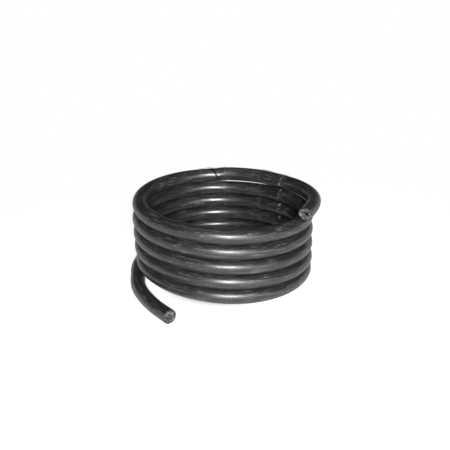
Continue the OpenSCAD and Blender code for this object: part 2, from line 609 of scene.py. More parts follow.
@dataclass(frozen=True)
class Winding:
    """Middle line of the hose, by the same rules and sizes as the CAD source.

    Only the gap under the top turn opens and closes more abruptly than there.
    Every turn is counted by one winding angle in degrees. It starts at the top
    end, runs anticlockwise seen from above and goes down to the floor. Each
    change that starts or ends along the way is a pair of angles: where it
    starts or ends, and how long it takes. The bulge's end and the foot's start
    are counted back from the angle at which the hose reaches the floor. Routes
    of the free ends give an angle, and how far out the hose lies from the coil
    in hose diameters. The top route adds how far it lies above the coil's slope.
    """

    hose_r: float = 8 * MM
    free_end_r: float = 7.5 * MM
    end_len: float = 22 * MM
    coil_r: float = 88 * MM
    coil_oval: float = 2.4 * MM
    oval_dir: float = 150
    side_bulge: float = 2.2 * MM
    left_bulge: float = 1.2 * MM
    coil_lean: float = 2.4 * MM
    left_rise: float = 3.6 * MM
    full_turns: int = 5
    turn_gap: float = 0.2 * MM
    top_spring: float = 9.7 * MM
    top_lift: float = 1.5 * MM
    film_gap: float = 0.5 * MM
    film_t: float = 0.3 * MM
    top_angle: float = 22
    floor_dir: float = 60
    tail_dir: float = 192
    lift_start: tuple[float, float] = (42, 12)
    lift_end: tuple[float, float] = (95, 9)
    spring_end: tuple[float, float] = (65, 80)
    bulge_start: tuple[float, float] = (180, 180)
    bulge_end: tuple[float, float] = (120, 240)
    foot_start: tuple[float, float] = (100, 90)
    foot_lead: float = 0.375
    knot_step: float = 5.0
    points_between: int = 8
    easings: int = 6
    easing_share: float = 0.25
    axis: tuple[float, float] = (-1 * MM, 7 * MM)
    top_route: tuple[tuple[float, float, float], ...] = (
        (12, 0.475, -0.019),
        (2, 0.644, -0.044),
        (-7, 0.731, -0.056),
        (-15, 0.750, -0.075),
        (-22, 0.750, -0.092),
    )
    top_heading: float = -114
    tail_route: tuple[tuple[float, float], ...] = (
        (199, 0.694),
        (206, 0.869),
        (213, 1.025),
        (220, 1.2),
        (227.5, 1.431),
        (235, 1.719),
    )
    tail_heading: float = -51.5

    @property
    def hose_d(self) -> float:
        """Outside diameter of the wound hose."""
        return 2 * self.hose_r

    @property
    def turn_pitch(self) -> float:
        """Height from one turn to the next."""
        return self.hose_d + self.turn_gap

    @property
    def lowest_z(self) -> float:
        """Height of the hose's middle where it lies on the film, on the floor."""
        return self.hose_r + self.film_gap + self.film_t

    @property
    def floor_angle(self) -> float:
        """Winding angle at which the hose has come down to the floor."""
        return self.floor_dir + 360 * self.full_turns

    @property
    def tail_angle(self) -> float:
        """Winding angle at which the tail leaves the coil."""
        return self.tail_dir + 360 * self.full_turns

    def height(self, a: np.ndarray) -> np.ndarray:
        """Height of the plain winding, before the top turn's lift.

        Args:
            a: winding angles in degrees.

        Returns:
            Heights of the hose's middle above the floor.
        """
        cosine = np.cos(np.radians(a))
        lean = np.where(cosine > 0, self.coil_lean, self.left_rise) * cosine
        return self.lowest_z + np.maximum(0, (self.floor_angle - a) / 360 * self.turn_pitch - lean)

    def lifted(self, a: np.ndarray) -> np.ndarray:
        """Height of the winding with the top turn's lift, which opens one narrow gap."""
        opened = smooth((a - self.lift_start[0]) / self.lift_start[1])
        return self.height(a) + self.top_lift * opened * smooth((self.lift_end[0] - a) / self.lift_end[1])

    def radius(self, a: np.ndarray) -> np.ndarray:
        """Distance of the hose's middle from the coil's axis.

        The coil is a little oval, its lower turns bulge at both sides, its top
        springs outwards, and the turn on the floor lies outside the one above.

        Args:
            a: winding angles in degrees.

        Returns:
            Distances from the coil's axis.
        """
        oval = self.coil_oval * np.cos(np.radians(2 * (a - self.oval_dir)))
        cosine = np.cos(np.radians(a))
        side = np.where(cosine > 0, self.side_bulge, self.left_bulge) * cosine**2
        begun = smooth((a - self.bulge_start[0]) / self.bulge_start[1])
        bulge = side * begun * smooth((self.floor_angle - self.bulge_end[0] - a) / self.bulge_end[1])
        spring = self.top_spring * smooth((self.spring_end[0] - a) / self.spring_end[1])
        drop = self.height(a - 360) - self.height(a)
        beside = np.sqrt(np.maximum(0, self.turn_pitch**2 - drop**2))
        foot_from = self.floor_angle - self.foot_start[0]
        lead = self.foot_lead * self.hose_d * smooth((a - foot_from) / self.foot_start[1])
        foot = np.where(a < foot_from, 0, np.maximum(beside, lead))
        return self.coil_r + oval + bulge + spring + foot

    def polar(self, a: np.ndarray, r: np.ndarray, z: np.ndarray) -> np.ndarray:
        """Points from directions, distances from the coil's axis and heights."""
        turn = np.radians(a)
        return np.stack([self.axis[0] + r * np.cos(turn), self.axis[1] + r * np.sin(turn), z], axis=-1)

    def stack(self, direction: float) -> np.ndarray:
        """Middles of the turns over each other in one direction, as distance and height."""
        a = direction + 360.0 * np.arange(self.full_turns + 1)
        return np.stack([self.radius(a), self.lifted(a)], axis=-1)

    def knots(self) -> tuple[np.ndarray, np.ndarray]:
        """Points that the hose's middle goes through, from the top end to the tail's end.

        Returns:
            The points, and the hose's outside radius at each of them.
        """
        top = np.array(self.top_route)
        high = self.height(top[:, 0]) + top[:, 2] * self.hose_d
        first = self.polar(top[:, 0], self.coil_r + top[:, 1] * self.hose_d, high)
        thinning = self.free_end_r - self.hose_r
        tail = np.array(self.tail_route)
        thin = self.hose_r + thinning * np.arange(1, len(tail) + 1) / len(tail)
        last = self.polar(tail[:, 0], self.coil_r + tail[:, 1] * self.hose_d, thin)
        a = np.arange(self.top_angle, self.tail_angle + 1, self.knot_step)
        coil = self.polar(a, self.radius(a), self.lifted(a))
        top_thin = self.hose_r + thinning * np.arange(len(top), 0, -1) / len(top)
        ends = []
        for point, heading in ((first[-1], self.top_heading), (last[-1], self.tail_heading)):
            ahead = np.array([math.cos(math.radians(heading)), math.sin(math.radians(heading)), 0])
            ends.append(np.array([point + ahead * self.end_len * share for share in (1 / 3, 2 / 3, 1)]))
        points = np.concatenate([ends[0][::-1], first[::-1], coil, last, ends[1]])
        free = np.full(3, self.free_end_r)
        return points, np.concatenate([free, top_thin, np.full(len(coil), self.hose_r), thin, free])

    def route(self, step: float) -> tuple[np.ndarray, np.ndarray]:
        """A smooth line through the knots, with points a step apart.

        Args:
            step: distance between the points.

        Returns:
            The points, and the hose's outside radius at each of them.
        """
        points, radii = self.knots()
        around = np.concatenate([[2 * points[0] - points[1]], points, [2 * points[-1] - points[-2]]])
        fine = []
        for i in range(1, len(around) - 2):
            p0, p1, p2, p3 = around[i - 1 : i + 3]
            for t in np.linspace(0, 1, self.points_between, endpoint=False):
                square, cube = 2 * p0 - 5 * p1 + 4 * p2 - p3, 3 * p1 - p0 - 3 * p2 + p3
                fine.append(0.5 * (2 * p1 + (p2 - p0) * t + square * t**2 + cube * t**3))
        line = np.array(fine + [points[-1]])
        share = np.arange(len(line)) / self.points_between
        radius = np.interp(share, np.arange(len(points)), radii)
        run = length_along(line)
        even = np.linspace(0, run[-1], int(round(run[-1] / step)) + 1)
        line = np.stack([np.interp(even, run, line[:, k]) for k in range(3)], axis=-1)
        radius = np.interp(even, run, radius)
        for _ in range(self.easings):
            line[1:-1] += self.easing_share * (line[:-2] + line[2:] - 2 * line[1:-1])
            radius[1:-1] += self.easing_share * (radius[:-2] + radius[2:] - 2 * radius[1:-1])
        return line, radius


# ---- The hose ----


@dataclass
class Hose:
    """The hose: one swept, hollow length of crumb rubber with two cut faces."""

    winding: Winding
    bore_r: float = 3.2 * MM
    step: float = 2.2 * MM
    bore_step: float = 8 * MM
    sides: int = 40
    rim_rings: int = 7
    weld: float = 0.02 * MM
    sharp_edge: float = 0.9
    die_lines: float = 0.05 * MM
    die_line_size: float = 2.6 * MM
    die_line_shape: tuple[float, float, float] = (1, 1, 0.04)
    swelling: float = 0.16 * MM
    swelling_size: float = 16 * MM
    swelling_shape: tuple[float, float, float] = (0.5, 0.5, 0.35)
    torn: float = 0.16 * MM
    torn_size: float = 1.6 * MM
    crumbs_each_mm2: float = 1.1
    crumb_r: tuple[float, float] = (0.22 * MM, 0.5 * MM)
    crumb_flatness: float = 0.7
    seed: int = 7
    worn_edge: float = 0.8 * MM
    worn_rings: int = 5
    top_slant: float = 20
    slant_reach: float = 9 * MM
    slant_ahead: float = 2 * MM
    slant_aside: float = 9.75 * MM
    cut_faces: CutRubber = field(default_factory=CutRubber)
    # the bore is paler than a cut face: partly unsmeared crumb, partly painted light against the shade
    # inside it
    bore: CutRubber = CutRubber("bore_rubber_and_painted_light", binder="#404040", grey="#5e5e5e", pale="#929292")
    wall: PorousRubber = field(default_factory=PorousRubber)

    def inputs(self) -> dict[str, tuple[str, Any]]:
        """Lists the sweep tree's inputs and makes the hose's materials.

        Returns:
            The socket type and the value of each input, by name.
        """
        return {
            "Sides": ("NodeSocketInt", self.sides),
            "Bore radius": ("NodeSocketFloat", self.bore_r),
            "Bore step": ("NodeSocketFloat", self.bore_step),
            "Rim rings": ("NodeSocketInt", self.rim_rings),
            "Die lines": ("NodeSocketFloat", self.die_lines),
            "Swelling": ("NodeSocketFloat", self.swelling),
            "Torn": ("NodeSocketFloat", self.torn),
            "Crumb density": ("NodeSocketFloat", self.crumbs_each_mm2 / MM**2),
            "Crumb least": ("NodeSocketFloat", self.crumb_r[0]),
            "Crumb most": ("NodeSocketFloat", self.crumb_r[1]),
            "Seed": ("NodeSocketInt", self.seed),
            "Wall": ("NodeSocketMaterial", self.wall.make()),
            "Bore": ("NodeSocketMaterial", self.bore.make()),
            "Cut face": ("NodeSocketMaterial", self.cut_faces.make()),
        }

    def sweep_tree(self, inputs: dict[str, tuple[str, Any]]) -> bpy.types.NodeTree:
        """Builds the tree that sweeps the wall and bore along the route and closes their ends.

        Args:
            inputs: the socket type and value of each input, by name.

        Returns:
            A tree that starts from the route as a line of edges, which carries
            the outside radius and the run along the hose.
        """
        tree, given, out = new_tree("Hose sweep", {name: kind for name, (kind, _) in inputs.items()})
        ask = given.outputs
        curve = add_node(tree, "GeometryNodeMeshToCurve", links={"Mesh": ask["Geometry"]})
        upright = add_node(
            tree, "GeometryNodeSetCurveNormal", {"mode": "Z_UP"}, links={"Curve": curve.outputs[0]}
        )
        line = upright.outputs[0]
        outside, run = (
            add_node(tree, "GeometryNodeInputNamedAttribute", {"data_type": "FLOAT"}, {"Name": name})
            for name in ("wall_radius", "run")
        )
        joined = add_node(tree, "GeometryNodeJoinGeometry")
        skins = self._skins(tree, ask, line, outside.outputs[0], run.outputs[0])
        for part in (*skins, self._rims(tree, ask, line)):
            tree.links.new(part, joined.inputs[0])
        welded = add_node(
            tree,
            "GeometryNodeMergeByDistance",
            values={"Distance": self.weld},
            links={"Geometry": joined.outputs[0]},
        )
        shaped = self._relief(tree, ask, welded.outputs[0])
        crumbs = self._crumbs(tree, ask, shaped)
        whole = add_node(tree, "GeometryNodeJoinGeometry")
        for part in (shaped, crumbs):
            tree.links.new(part, whole.inputs[0])
        tree.links.new(self._shading(tree, whole.outputs[0]), out.inputs[0])
        return tree

    def _skins(
        self,
        tree: bpy.types.NodeTree,
        ask: bpy.types.NodeOutputs,
        line: bpy.types.NodeSocket,
        outside: bpy.types.NodeSocket,
        run: bpy.types.NodeSocket,
    ) -> list[bpy.types.NodeSocket]:
        """Sweeps the wall and the bore, and keeps each point's place in the straightened hose.

        Args:
            tree: the tree that is built.
            ask: the tree's inputs.
            line: the route as a curve.
            outside: the outside radius along the route.
            run: the run along the hose.

        Returns:
            The sockets with the wall and with the bore.
        """
        circle = add_node(
            tree,
            "GeometryNodeCurvePrimitiveCircle",
            {"mode": "RADIUS"},
            {"Radius": 1},
            {"Resolution": ask["Sides"]},
        )
        place = add_node(tree, "GeometryNodeInputPosition")
        ring = add_node(
            tree,
            "GeometryNodeStoreNamedAttribute",
            {"data_type": "FLOAT_VECTOR", "domain": "POINT"},
            {"Name": "ring"},
            {"Geometry": circle.outputs[0], "Value": place.outputs[0]},
        )
        on_ring = add_node(
            tree, "GeometryNodeInputNamedAttribute", {"data_type": "FLOAT_VECTOR"}, {"Name": "ring"}
        )
        along = add_node(tree, "ShaderNodeCombineXYZ", links={"Z": run})
        coarse = add_node(
            tree,
            "GeometryNodeResampleCurve",
            {"mode": "LENGTH"},
            links={"Curve": line, "Length": ask["Bore step"]},
        )
        skins = []
        for path, radius, flip, finish in (
            (line, outside, False, ask["Wall"]),
            (coarse.outputs[0], ask["Bore radius"], True, ask["Bore"]),
        ):
            tube = add_node(
                tree,
                "GeometryNodeCurveToMesh",
                values={"Fill Caps": False},
                links={"Curve": path, "Profile Curve": ring.outputs[0], "Scale": radius},
            )
            spot = add_node(
                tree,
                "ShaderNodeVectorMath",
                {"operation": "MULTIPLY_ADD"},
                links={0: on_ring.outputs[0], 1: radius, 2: along.outputs[0]},
            )
            kept = add_node(
                tree,
                "GeometryNodeStoreNamedAttribute",
                {"data_type": "FLOAT_VECTOR", "domain": "POINT"},
                {"Name": STRAIGHT},
                {"Geometry": tube.outputs[0], "Value": spot.outputs[0]},
            )
            if flip:
                kept = add_node(tree, "GeometryNodeFlipFaces", links={"Mesh": kept.outputs[0]})
            dressed = add_node(
                tree, "GeometryNodeSetMaterial", links={"Geometry": kept.outputs[0], "Material": finish}
            )
            skins.append(dressed.outputs[0])
        return skins

    def _shading(self, tree: bpy.types.NodeTree, mesh: bpy.types.NodeSocket) -> bpy.types.NodeSocket:
        """Shades the mesh smooth, apart from edges that turn by more than sharp_edge radians.

        Args:
            tree: the tree that is built.
            mesh: the hose with its crumbs.

        Returns:
            The socket with the shaded mesh.
        """
        edge = add_node(tree, "GeometryNodeInputMeshEdgeAngle")
        sharp = add_node(
            tree,
            "FunctionNodeCompare",
            {"operation": "GREATER_THAN"},
            {"B": self.sharp_edge},
            {"A": edge.outputs["Unsigned Angle"]},
        )
        rounded = add_node(tree, "GeometryNodeSetShadeSmooth", {"domain": "FACE"}, links={"Geometry": mesh})
        crisp = add_node(
            tree,
            "GeometryNodeSetShadeSmooth",
            {"domain": "EDGE"},
            {"Shade Smooth": False},
            {"Geometry": rounded.outputs[0], "Selection": sharp.outputs[0]},
        )
        return crisp.outputs[0]

    def _rims(
        self, tree: bpy.types.NodeTree, ask: bpy.types.NodeOutputs, line: bpy.types.NodeSocket
    ) -> bpy.types.NodeSocket:
        """Adds the two cut faces: flat rings between the bore and the outside.

        Args:
            tree: the tree that is built.
            ask: the tree's inputs.
            line: the route as a curve.

        Returns:
            The socket with both rims as a mesh, marked as cut.
        """
        columns = add_node(tree, "ShaderNodeMath", {"operation": "ADD"}, {1: 1}, {0: ask["Sides"]})
        sheet = add_node(
            tree,
            "GeometryNodeMeshGrid",
            values={"Size X": 1, "Size Y": 1},
            links={"Vertices X": columns.outputs[0], "Vertices Y": ask["Rim rings"]},
        )
        place = add_node(tree, "GeometryNodeInputPosition")
        cell = add_node(tree, "ShaderNodeSeparateXYZ", links={0: place.outputs[0]})
        angle = add_node(
            tree, "ShaderNodeMath", {"operation": "MULTIPLY"}, {1: 2 * math.pi}, {0: cell.outputs["X"]}
        )
        out_share = add_node(tree, "ShaderNodeMath", {"operation": "ADD"}, {1: 0.5}, {0: cell.outputs["Y"]})
        reach = add_node(
            tree,
            "ShaderNodeMapRange",
            values={"To Max": self.winding.free_end_r - self.worn_edge},
            links={"Value": out_share.outputs[0], "To Min": ask["Bore radius"]},
        )
        cosine = add_node(tree, "ShaderNodeMath", {"operation": "COSINE"}, links={0: angle.outputs[0]})
        sine = add_node(tree, "ShaderNodeMath", {"operation": "SINE"}, links={0: angle.outputs[0]})
        unit = add_node(tree, "ShaderNodeCombineXYZ", links={"X": cosine.outputs[0], "Y": sine.outputs[0]})
        spot = add_node(
            tree,
            "ShaderNodeVectorMath",
            {"operation": "MULTIPLY"},
            links={0: unit.outputs[0], 1: reach.outputs[0]},
        )
        ring = add_node(
            tree,
            "GeometryNodeSetPosition",
            links={"Geometry": sheet.outputs[0], "Position": spot.outputs[0]},
        )
        kept = add_node(
            tree,
            "GeometryNodeStoreNamedAttribute",
            {"data_type": "FLOAT_VECTOR", "domain": "POINT"},
            {"Name": STRAIGHT},
            {"Geometry": ring.outputs[0], "Value": place.outputs[0]},
        )
        marked = add_node(
            tree,
            "GeometryNodeStoreNamedAttribute",
            {"data_type": "BOOLEAN", "domain": "FACE"},
            {"Name": "cut", "Value": True},
            {"Geometry": kept.outputs[0]},
        )
        ahead = add_node(tree, "GeometryNodeInputTangent")
        aside = add_node(tree, "GeometryNodeInputNormal")
        faced = add_node(
            tree,
            "FunctionNodeAxesToRotation",
            {"primary_axis": "Z", "secondary_axis": "X"},
            links={"Primary Axis": ahead.outputs[0], "Secondary Axis": aside.outputs[0]},
        )
        turned = add_node(tree, "GeometryNodeFlipFaces", links={"Mesh": marked.outputs[0]})
        both = []
        for start, end, face in ((1, 0, turned), (0, 1, marked)):
            tip = add_node(
                tree, "GeometryNodeCurveEndpointSelection", values={"Start Size": start, "End Size": end}
            )
            put = add_node(
                tree,
                "GeometryNodeInstanceOnPoints",
                links={
                    "Points": line,
                    "Selection": tip.outputs[0],
                    "Instance": face.outputs[0],
                    "Rotation": faced.outputs[0],
                },
            )
            both.append(put.outputs[0])
        pair = add_node(tree, "GeometryNodeJoinGeometry")
        for part in both:
            tree.links.new(part, pair.inputs[0])
        real = add_node(tree, "GeometryNodeRealizeInstances", links={"Geometry": pair.outputs[0]})
        dressed = add_node(
            tree, "GeometryNodeSetMaterial", links={"Geometry": real.outputs[0], "Material": ask["Cut face"]}
        )
        return dressed.outputs[0]

    def _relief(
        self, tree: bpy.types.NodeTree, ask: bpy.types.NodeOutputs, mesh: bpy.types.NodeSocket
    ) -> bpy.types.NodeSocket:
        """Adds the wall's die lines and slow swelling, and the torn cut faces.

        Args:
            tree: the tree that is built.
            ask: the tree's inputs.
            mesh: the welded skin.

        Returns:
            The socket with the shaped skin.
        """
        space = add_node(
            tree, "GeometryNodeInputNamedAttribute", {"data_type": "FLOAT_VECTOR"}, {"Name": STRAIGHT}
        )
        place = add_node(tree, "GeometryNodeInputPosition")
        cut = add_node(tree, "GeometryNodeInputNamedAttribute", {"data_type": "BOOLEAN"}, {"Name": "cut"})
        outward = add_node(tree, "GeometryNodeInputNormal")
        current = mesh
        for source, shape, size, depth, where in (
            (space.outputs[0], self.die_line_shape, self.die_line_size, ask["Die lines"], None),
            (space.outputs[0], self.swelling_shape, self.swelling_size, ask["Swelling"], None),
            (place.outputs[0], (1, 1, 1), self.torn_size, ask["Torn"], cut.outputs[0]),
        ):
            scaled = add_node(
                tree, "ShaderNodeVectorMath", {"operation": "MULTIPLY"}, {1: shape}, {0: source}
            )
            noise = add_node(
                tree,
                "ShaderNodeTexNoise",
                {"noise_dimensions": "4D"},
                {"Scale": 1 / size, "Detail": 2},
                {"Vector": scaled.outputs[0], "W": ask["Seed"]},
            )
            centred = add_node(
                tree, "ShaderNodeMath", {"operation": "MULTIPLY_ADD"}, {1: 2, 2: -1}, {0: noise.outputs[0]}
            )
            amount = add_node(
                tree, "ShaderNodeMath", {"operation": "MULTIPLY"}, links={0: centred.outputs[0], 1: depth}
            )
            offset = add_node(
                tree,
                "ShaderNodeVectorMath",
                {"operation": "SCALE"},
                links={0: outward.outputs[0], "Scale": amount.outputs[0]},
            )
            shifted = add_node(
                tree, "GeometryNodeSetPosition", links={"Geometry": current, "Offset": offset.outputs[0]}
            )
            if where is not None:
                tree.links.new(where, shifted.inputs["Selection"])
            current = shifted.outputs[0]
        return current

    def _crumbs(
        self, tree: bpy.types.NodeTree, ask: bpy.types.NodeOutputs, mesh: bpy.types.NodeSocket
    ) -> bpy.types.NodeSocket:
        """Scatters torn crumbs over the cut faces.

        Args:
            tree: the tree that is built.
            ask: the tree's inputs.
            mesh: the hose's skin, with its cut faces marked.

        Returns:
            The socket with the crumbs as a mesh.
        """
        cut = add_node(tree, "GeometryNodeInputNamedAttribute", {"data_type": "BOOLEAN"}, {"Name": "cut"})
        spots = add_node(
            tree,
            "GeometryNodeDistributePointsOnFaces",
            links={
                "Mesh": mesh,
                "Selection": cut.outputs[0],
                "Density": ask["Crumb density"],
                "Seed": ask["Seed"],
            },
        )
        size = add_node(
            tree,
            "FunctionNodeRandomValue",
            links={2: ask["Crumb least"], 3: ask["Crumb most"], "Seed": ask["Seed"]},
        )
        turn = add_node(
            tree,
            "FunctionNodeRandomValue",
            {"data_type": "FLOAT_VECTOR"},
            {0: (0, 0, 0), 1: (6, 6, 6)},
            {"Seed": ask["Seed"]},
        )
        spin = add_node(tree, "FunctionNodeEulerToRotation", links={0: turn.outputs[0]})
        crumb = add_node(tree, "GeometryNodeMeshIcoSphere", values={"Radius": 1, "Subdivisions": 1})
        flat = add_node(
            tree,
            "GeometryNodeTransform",
            values={"Scale": (1, 1, self.crumb_flatness)},
            links={"Geometry": crumb.outputs[0]},
        )
        put = add_node(
            tree,
            "GeometryNodeInstanceOnPoints",
            links={
                "Points": spots.outputs[0],
                "Instance": flat.outputs[0],
                "Rotation": spin.outputs[0],
                "Scale": size.outputs[1],
            },
        )
        real = add_node(tree, "GeometryNodeRealizeInstances", links={"Geometry": put.outputs[0]})
        dressed = add_node(
            tree, "GeometryNodeSetMaterial", links={"Geometry": real.outputs[0], "Material": ask["Cut face"]}
        )
        return dressed.outputs[0]

    def worn_ends(self, line: np.ndarray, radius: np.ndarray) -> tuple[np.ndarray, np.ndarray]:
        """Rounds the hose's outer edge at both ends.

        Args:
            line: points along the hose's middle.
            radius: the outside radius at each point.

        Returns:
            The points and radii, with more of them within the worn edges.
        """
        turn = np.linspace(0, math.pi / 2, self.worn_rings)
        back = self.worn_edge * (1 - np.cos(turn))
        lost = self.worn_edge * (1 - np.sin(turn))
        # each pass works on the first end, and then turns the hose round
        for _ in range(2):
            inward = (line[1] - line[0]) / np.linalg.norm(line[1] - line[0])
            line = np.concatenate([line[0] + back[:, None] * inward, line[1:]])[::-1]
            radius = np.concatenate([radius[0] - lost, radius[1:]])[::-1]
        return line, radius

    def slant(self, hose: bpy.types.Object, tip: np.ndarray, ahead: np.ndarray) -> None:
        """Shears the top end a little, as a hand-held cut does.

        Args:
            hose: the finished mesh.
            tip: the middle of the end's face.
            ahead: the direction in which the end points.
        """
        ahead = ahead / np.linalg.norm(ahead)
        points = np.empty(len(hose.data.vertices) * 3)
        hose.data.vertices.foreach_get("co", points)
        points = points.reshape(-1, 3)
        away = points - tip
        behind = -away @ ahead
        # only the end itself, and not the turns beside it
        near = np.linalg.norm(away + behind[:, None] * ahead, axis=1) < self.slant_aside
        share = np.clip(1 - behind / self.slant_reach, 0, 1) * (near & (behind > -self.slant_ahead))
        points += (share * away[:, 2] * math.tan(math.radians(self.top_slant)))[:, None] * ahead
        hose.data.vertices.foreach_set("co", points.ravel())
        hose.data.update()

    def build(self) -> bpy.types.Object:
        """Returns:
            The hose as one mesh that stands for the three CAD nodes of the hose.
        """
        line, radius = self.worn_ends(*self.winding.route(self.step))
        run = length_along(line)
        edges = [(i, i + 1) for i in range(len(line) - 1)]
        route = mesh_object("hose_route", line, [], edges, {"wall_radius": radius, "run": run})
        inputs = self.inputs()
        values = {name: value for name, (_, value) in inputs.items()}
        hose = grown(route, self.sweep_tree(inputs), values, "soaker_hose")
        self.slant(hose, line[0], line[0] - line[1])
        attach(hose, BODY)
        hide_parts("hose_coil", "hose_top_end", "hose_tail")
        tuple(line[0])
        self.winding.hose_d
        [tuple(p) for p in line]
        log.info("%s: %.3f m long, %d faces", hose.name, run[-1], len(hose.data.polygons))
        return hose


# ---- The film bands ----


@dataclass(frozen=True)
class Crease:
    """A pinched line across the film, from which it rises to both sides.

    Its two ends are given as shares across the band and as distances along it
    from the stack's top. The film stands higher and wider on the crease's left.
    """

    across: tuple[float, float]
    along: tuple[float, float]
    height: float
    width: float
    right_share: float = 0.4
    fade_in: float = 0.15
    fade_out: float = 0.25

    def lift(self, across: float, along: np.ndarray, band_width: float) -> tuple[np.ndarray, np.ndarray]:
        """Raises the film beside the crease and marks where the crease shows.

        Args:
            across: distance across the band.
            along: distances along it from the stack's top.
            band_width: the band's width.

        Returns:
            The heights, and rows of the distance from the crease, in its widths,
            and the crease's strength, which place the painted shade along the crease.
        """
        (a0, a1), (s0, s1) = self.across, self.along
        line = np.array([(a1 - a0) * band_width, s1 - s0])
        length = np.linalg.norm(line)
        away = np.stack([np.full_like(along, across - a0 * band_width), along - s0], axis=-1)
        share = away @ line / length**2
        aside = (away[:, 0] * line[1] - away[:, 1] * line[0]) / length
        strength = smooth(share / self.fade_in) * smooth((1 - share) / self.fade_out)
        size = np.where(aside > 0, self.right_share, 1)
        apart = np.abs(aside) / self.width / size
        height = self.height * size * apart * np.exp(1 - apart) * strength
        return height, np.stack([aside / self.width, strength], axis=-1)


@dataclass
class FilmBand:
    """A band of stretch film wound around the stack of turns and clinging to it.

    It sinks in between the turns, by as much as a rounding of hollow_r lets it.
    Its ripples run along the wrap, its two edges are rolled, and its ends lap.
    Haze lies along its edges, with milky flecks in it that are painted glints,
    and the fleck haze is given for the first edge and for the second edge.
    """

    winding: Winding
    node: str
    direction: float
    seed: int
    width: float = 33 * MM
    thickness: float = 0.1 * MM
    hollow_r: float = 1 * MM
    ripple: float = 0.08 * MM
    ripple_pitch: float = 5 * MM
    ripple_octaves: tuple[float, ...] = (1, 1.7, 2.9)
    ripple_sum: float = 1.9
    sway: tuple[float, float] = (0.5, 1.5)
    sway_size: tuple[float, float] = (28 * MM, 60 * MM)
    swell: float = 0.4
    swell_size: tuple[float, float] = (20 * MM, 45 * MM)
    sag: float = 0.14 * MM
    sag_size: float = 13 * MM
    sag_waves: int = 4
    lap: float = 0.09
    lap_start: float = 0.62
    lap_lift: float = 0.22 * MM
    lap_haze: float = 0.1
    lap_haze_rows: float = 1.2
    roll: float = 0.25 * MM
    roll_width: float = 0.7 * MM
    floor_gap: float = 0.12 * MM
    edge_haze: float = 0.03
    edge_width: float = 0.9 * MM
    # milky flecks along each edge, which are painted glints
    glint_fleck_haze: tuple[float, float] = (0.1, 0.2)
    fleck_pitch: float = 1.1 * MM
    fleck_wander: float = 2
    wander_pitch: float = 3.7 * MM
    fleck_range: tuple[float, float] = (0.5, 0.9)
    columns: int = 67
    rows: int = 360
    arc_points: int = 40
    creases: tuple[Crease, ...] = ()
    film: StretchFilm = field(default_factory=StretchFilm)

    def belt(self, direction: float) -> tuple[np.ndarray, np.ndarray]:
        """Section of the band in one direction from the axis.

        Args:
            direction: the section's direction in degrees.

        Returns:
            Points as distance and height, once around from the top inwards and
            down, and their outward normals.
        """
        middles = self.winding.stack(direction)
        reach = self.winding.hose_r + self.winding.film_gap
        visited = np.concatenate([middles, middles[-2::-1]])
        points, normals, turn = [], [], math.pi / 2
        for here, after in zip(visited[:-1], visited[1:]):
            ahead = (after - here) / np.linalg.norm(after - here)
            out = np.array([ahead[1], -ahead[0]])
            half = np.linalg.norm(after - here) / 2
            hollow = (here + after) / 2 + out * math.sqrt((reach + self.hollow_r) ** 2 - half**2)
            end = math.atan2(*(hollow - here)[::-1])
            end += 2 * math.pi * math.ceil((turn - end) / 2 / math.pi)
            self.add_arc(points, normals, here, reach, turn, end)
            start = math.atan2(*(here - hollow)[::-1])
            stop = math.atan2(*(after - hollow)[::-1])
            stop -= 2 * math.pi * math.ceil((stop - start) / 2 / math.pi)
            self.add_arc(points, normals, hollow, -self.hollow_r, start, stop)
            turn = math.atan2(*(hollow - after)[::-1])
        self.add_arc(points, normals, visited[-1], reach, turn, math.pi / 2)
        path, facing = np.concatenate(points), np.concatenate(normals)
        run = length_along(path)
        even = np.linspace(0, run[-1], self.rows + 1)[:-1]
        outline, normal = (
            np.stack([np.interp(even, run, v[:, k]) for k in range(2)], axis=-1) for v in (path, facing)
        )
        return outline, normal / np.linalg.norm(normal, axis=1)[:, None]

    def add_arc(
        self,
        points: list[np.ndarray],
        normals: list[np.ndarray],
        middle: np.ndarray,
        radius: float,
        start: float,
        end: float,
    ) -> None:
        """Adds an arc of the section to its points and outward normals.

        Args:
            points: the section's points so far.
            normals: their outward normals.
            middle: the arc's middle.
            radius: its radius, negative where the film is hollow.
            start: the angle at which it starts.
            end: the angle at which it ends.
        """
        turn = np.linspace(start, end, self.arc_points)
        ray = np.stack([np.cos(turn), np.sin(turn)], axis=-1)
        points.append(middle + abs(radius) * ray)
        normals.append(math.copysign(1, radius) * ray)

    def ripples(self, across: np.ndarray, along: np.ndarray) -> np.ndarray:
        """Height of the tension folds, which run along the wrap, and of the slack.

        Args:
            across: distances across the band.
            along: distances along the wrap.

        Returns:
            Heights of the film above the plain belt.
        """
        dice = np.random.default_rng(self.seed)
        total = np.zeros(np.broadcast(across, along).shape)
        full = 2 * math.pi
        for octave in self.ripple_octaves:
            sway = dice.uniform(*self.sway)
            drift = sway * np.sin(full * along / dice.uniform(*self.sway_size) + dice.uniform(0, 6))
            wave = np.sin(full * octave * across / self.ripple_pitch + drift * 2 + dice.uniform(0, 6))
            swell = np.sin(full * along / dice.uniform(*self.swell_size) + dice.uniform(0, 6))
            total += (1 - np.abs(wave)) * (1 - self.swell + self.swell * swell) / octave
        sag = np.zeros_like(total)
        for _ in range(self.sag_waves):
            heading, phase = dice.uniform(0, math.pi), dice.uniform(0, 6)
            way = np.cos(heading) * across + np.sin(heading) * along
            sag += np.sin(full * way / self.sag_size + phase)
        return self.ripple * total / self.ripple_sum + self.sag * (1 + sag / self.sag_waves)

    def fog(self, run: np.ndarray, edge: float, bright: float) -> np.ndarray:
        """Haze near one edge of the band, with milky flecks along it that are painted glints.

        Args:
            run: distances along the wrap.
            edge: distance from the edge.
            bright: haze of the flecks, the painted glints.

        Returns:
            Haze at each distance along the wrap.
        """
        wander = self.fleck_wander * np.sin(run / self.wander_pitch + self.seed)
        least, most = self.fleck_range
        # painted glints: milky flecks that come and go along the edge
        flecks = smooth((np.sin(run / self.fleck_pitch + wander) - least) / (most - least))
        return (self.edge_haze + bright * flecks) * math.exp(-((edge / self.edge_width) ** 2))

